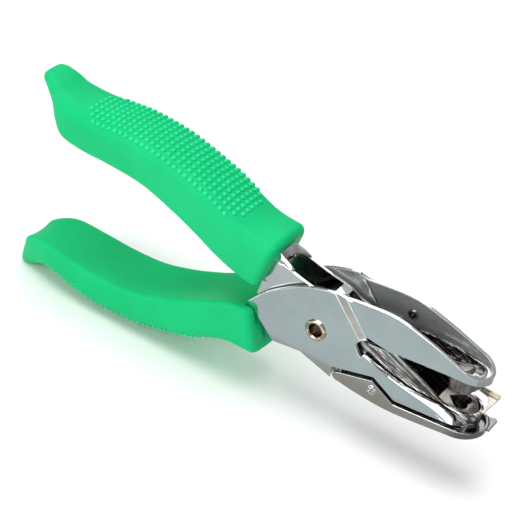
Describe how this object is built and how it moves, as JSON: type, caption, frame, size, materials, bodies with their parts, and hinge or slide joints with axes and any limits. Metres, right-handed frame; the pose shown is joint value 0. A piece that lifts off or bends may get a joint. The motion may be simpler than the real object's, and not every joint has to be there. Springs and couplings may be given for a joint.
{
  "type": "craft punch",
  "caption": "Hand-held plier punch that cuts a small heart: chromed jaw frame and levers, heart punch and die, hinged chip catcher and soft dotted grips.",
  "frame": {"origin": "centre of the hollow pivot rivet, midway between the two frame cheeks", "axes": "+X from the pivot along the jaws to the nose, +Z towards the upper handle, +Y along the pivot rivet to the far cheek"},
  "size_m": [0.1424, 0.0184, 0.0622],
  "materials": {
    "chrome": "polished chrome plate",
    "nickel": "warm bright nickel",
    "tool_steel": "ground satin steel",
    "plain_steel": "plain rolled steel",
    "spring_steel": "yellow passivated wire",
    "green_grip": "smooth matte soft-touch moulding"
  },
  "bodies": {
    "frame": {"jaw_frame": "chrome", "upper_jaw": "chrome", "upper_handle": "chrome", "die_lever": "chrome", "die_jaw": "chrome", "die_plate": "tool_steel", "stripper": "plain_steel", "stripper_rivet": "nickel", "pivot_rivet": "nickel", "spacer_bush": "tool_steel", "spring_coil": "spring_steel", "spring_fixed_leg": "spring_steel", "upper_grip": "green_grip"},
    "punch_arm": {"lower_handle": "chrome", "punch_lever": "chrome", "punch_jaw": "chrome", "heart_punch": "tool_steel", "spring_moving_leg": "spring_steel", "lower_grip": "green_grip"},
    "catcher": {"chip_catcher": "chrome"}
  },
  "joints": [
    {"name": "lever_hinge", "type": "hinge", "parent": "frame", "child": "punch_arm", "pos_m": [0, 0, 0], "axis": [0, 1, 0], "range_deg": [0, 7.1], "stiffness_Nm_per_rad": 0.8, "springref_deg": -20.05},
    {"name": "catcher_hinge", "type": "hinge", "parent": "frame", "child": "catcher", "pos_m": [0.008, 0, -0.0104], "axis": [0, 1, 0], "range_deg": [0, 35]}
  ]
}
